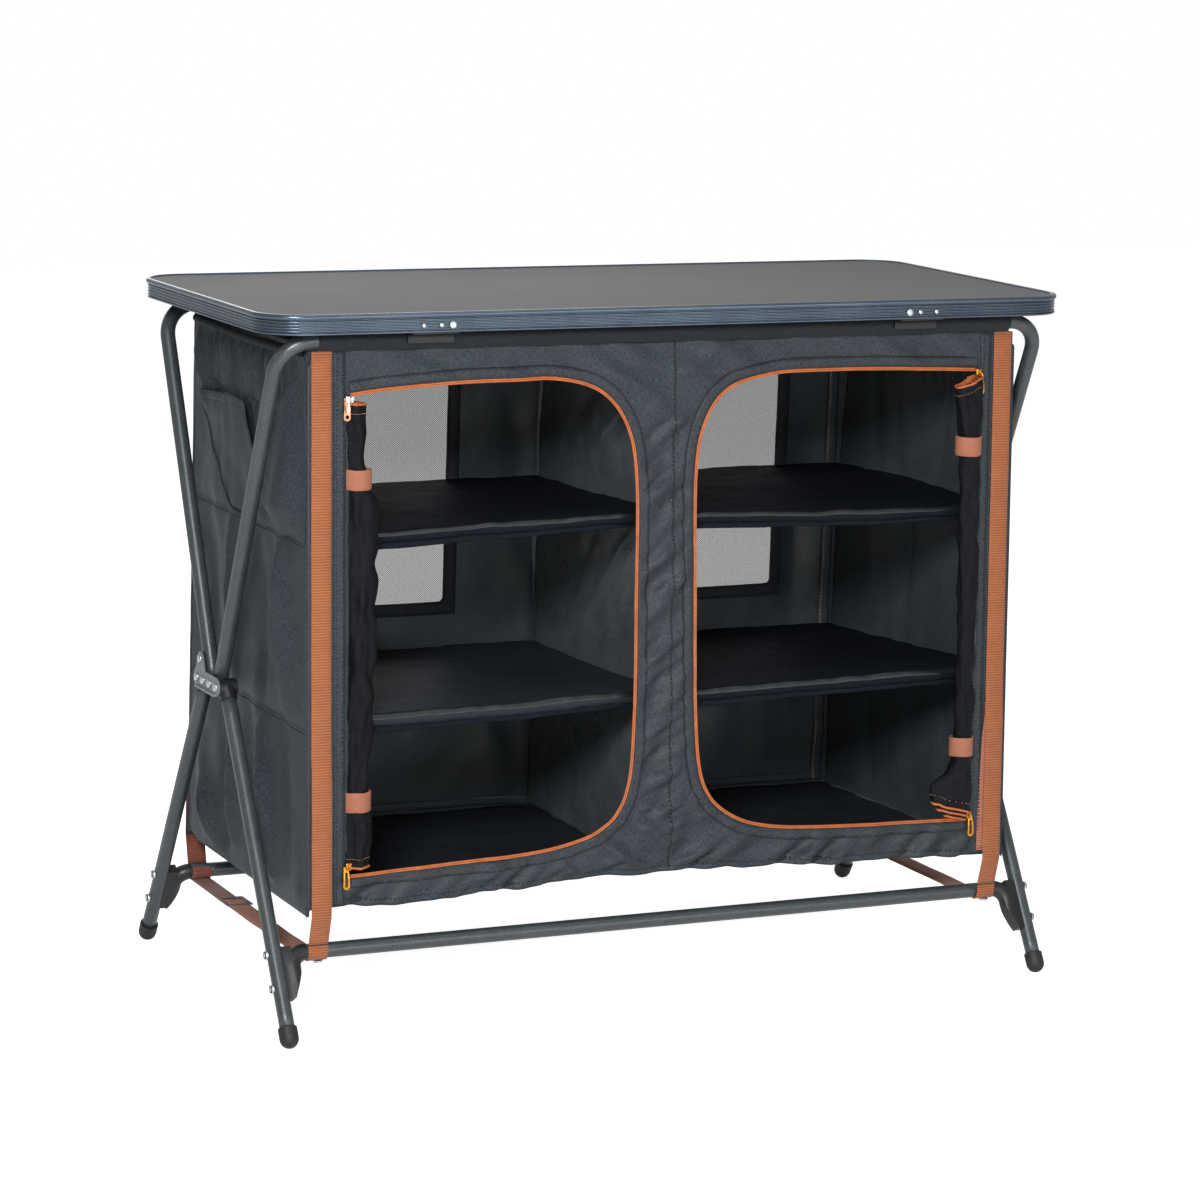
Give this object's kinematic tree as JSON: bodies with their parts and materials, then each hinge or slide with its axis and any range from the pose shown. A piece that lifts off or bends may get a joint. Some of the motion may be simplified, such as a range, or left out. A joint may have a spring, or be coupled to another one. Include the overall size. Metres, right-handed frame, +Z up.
{
  "type": "folding camping cupboard",
  "caption": "Folding camping cupboard: laminate tabletop on a folding tube frame, fabric cabinet hung inside with padded shelves, rolled mesh doors and webbing straps.",
  "frame": {"origin": "on the ground, in the middle of the cupboard's footprint", "axes": "+Z up, -Y out of the door side, +X to the right of someone facing the doors"},
  "size_m": [1.1, 0.57, 0.89],
  "materials": {
    "laminate": "smooth satin grey laminate on a fibre board",
    "edge_extrusion": "ribbed extrusion, dark slate anodised",
    "tube_coat": "matt dark grey hammered powder coat on steel tube",
    "plate_coat": "dark grey powder coat on pressed steel, bright rivet heads",
    "black_plastic": "fine grained black plastic",
    "rubber": "matt black rubber",
    "cabinet_cloth": "heathered charcoal polyester cloth",
    "lining_cloth": "black coated cloth",
    "window_mesh": "fine see-through mesh",
    "webbing": "ribbed burnt-orange webbing",
    "bare_metal": "plain zinc-plated wire and strip",
    "orange_metal": "orange-gold lacquer on cast metal"
  },
  "bodies": {
    "front_lower_frame": {"front_lower_bar": "tube_coat", "front_leg_left": "tube_coat", "front_leg_right": "tube_coat", "front_knuckle_left": "black_plastic", "front_knuckle_right": "black_plastic", "front_elbow_left": "black_plastic", "front_elbow_right": "black_plastic", "front_foot_left": "rubber", "front_foot_right": "rubber", "bottom_strap_left": "webbing", "bottom_strap_right": "webbing"},
    "rear_upper_frame": {"rear_upper_frame": "tube_coat", "rear_sleeve": "cabinet_cloth", "hinge_plate_left": "plate_coat", "hinge_plate_right": "plate_coat", "hinge_liner_left": "black_plastic", "hinge_liner_right": "black_plastic"},
    "front_upper_frame": {"front_upper_frame": "tube_coat", "front_sleeve": "cabinet_cloth"},
    "rear_lower_frame": {"rear_lower_bar": "tube_coat", "rear_leg_left": "tube_coat", "rear_leg_right": "tube_coat", "rear_knuckle_left": "black_plastic", "rear_knuckle_right": "black_plastic", "rear_elbow_left": "black_plastic", "rear_elbow_right": "black_plastic", "rear_foot_left": "rubber", "rear_foot_right": "rubber"},
    "tabletop": {"tabletop_rim": "edge_extrusion", "tabletop_board": "laminate", "rear_clip_left": "black_plastic", "rear_clip_right": "black_plastic", "front_catch_left": "black_plastic", "front_catch_right": "black_plastic"},
    "cabinet": {"centre_divider": "lining_cloth", "cabinet_roof": "cabinet_cloth", "cabinet_floor": "lining_cloth", "side_panel_left": "cabinet_cloth", "side_panel_right": "cabinet_cloth", "upper_shelf_left": "lining_cloth", "upper_shelf_right": "lining_cloth", "lower_shelf_left": "lining_cloth", "lower_shelf_right": "lining_cloth"},
    "front_wall": {"front_panel": "cabinet_cloth", "rolled_door_left": "cabinet_cloth", "rolled_door_right": "cabinet_cloth", "front_strap_left": "webbing", "front_strap_right": "webbing"},
    "rear_wall": {"rear_panel": "cabinet_cloth", "mesh_window_left": "window_mesh", "mesh_window_right": "window_mesh", "rear_strap_left": "webbing", "rear_strap_right": "webbing"},
    "strap_adjusters": {"strap_adjuster_left": "bare_metal", "strap_adjuster_right": "bare_metal"},
    "upper_zip_pull_left": {"upper_zip_pull_left": "orange_metal"},
    "upper_zip_pull_right": {"upper_zip_pull_right": "orange_metal"},
    "lower_zip_pull_left": {"lower_zip_pull_left": "orange_metal"},
    "lower_zip_pull_right": {"lower_zip_pull_right": "orange_metal"}
  },
  "joints": [
    {"name": "tabletop_lift", "type": "hinge", "parent": "rear_upper_frame", "child": "tabletop", "pos_m": [0, 0.216, 0.855], "axis": [-1, 0, 0], "range_deg": [0, 112]},
    {"name": "frame_lean", "type": "hinge", "parent": "front_lower_frame", "child": "rear_upper_frame", "pos_m": [0, -0.036, 0.402], "axis": [-1, 0, 0], "range_deg": [0, 7.02]},
    {"name": "rear_leg_fold", "type": "hinge", "parent": "rear_upper_frame", "child": "rear_lower_frame", "pos_m": [0, 0.036, 0.402], "axis": [-1, 0, 0], "range_deg": [0, 55.51]},
    {"name": "front_upper_fold", "type": "hinge", "parent": "rear_upper_frame", "child": "front_upper_frame", "pos_m": [0, -0.012, 0.402], "axis": [-1, 0, 0], "range_deg": [0, 48.5]},
    {"name": "cabinet_lean", "type": "hinge", "parent": "rear_upper_frame", "child": "cabinet", "pos_m": [0, 0.102, 0.38009], "axis": [-1, 0, 0], "range_deg": [0, 24.25], "deforming": ["centre_divider", "cabinet_roof", "cabinet_floor", "side_panel_left", "side_panel_right", "upper_shelf_left", "upper_shelf_right", "lower_shelf_left", "lower_shelf_right"]},
    {"name": "front_wall_close", "type": "slide", "parent": "cabinet", "child": "front_wall", "axis": [0, 0.9997, -0.024], "range_m": [0, 0.2052]},
    {"name": "rear_wall_close", "type": "slide", "parent": "cabinet", "child": "rear_wall", "axis": [0, -0.9997, 0.024], "range_m": [0, 0.2052]},
    {"name": "adjuster_slide", "type": "slide", "parent": "front_lower_frame", "child": "strap_adjusters", "axis": [0, -1, 0], "range_m": [0, 0.2585], "deforming": ["bottom_strap_left", "bottom_strap_right"]},
    {"name": "upper_zip_pull_left_swing", "type": "hinge", "parent": "front_wall", "child": "upper_zip_pull_left", "pos_m": [-0.436, -0.21743, 0.79003], "axis": [-1, 0, 0], "range_deg": [0, 160]},
    {"name": "upper_zip_pull_right_swing", "type": "hinge", "parent": "front_wall", "child": "upper_zip_pull_right", "pos_m": [0.436, -0.21743, 0.79003], "axis": [-1, 0, 0], "range_deg": [0, 160]},
    {"name": "lower_zip_pull_left_swing", "type": "hinge", "parent": "front_wall", "child": "lower_zip_pull_left", "pos_m": [-0.436, -0.23417, 0.21003], "axis": [-1, 0, 0], "range_deg": [0, 160]},
    {"name": "lower_zip_pull_right_swing", "type": "hinge", "parent": "front_wall", "child": "lower_zip_pull_right", "pos_m": [0.436, -0.23417, 0.21003], "axis": [-1, 0, 0], "range_deg": [0, 160]}
  ],
  "couplings": [
    {"joint": "frame_lean", "follows": "tabletop_lift", "ratio": 0.062614},
    {"joint": "rear_leg_fold", "follows": "tabletop_lift", "ratio": 0.49553},
    {"joint": "front_upper_fold", "follows": "tabletop_lift", "ratio": 0.43292},
    {"joint": "cabinet_lean", "follows": "tabletop_lift", "ratio": 0.21646},
    {"joint": "front_wall_close", "follows": "tabletop_lift", "m_per_rad": 0.10493},
    {"joint": "rear_wall_close", "follows": "tabletop_lift", "m_per_rad": 0.10493},
    {"joint": "adjuster_slide", "follows": "tabletop_lift", "m_per_rad": 0.13214}
  ]
}
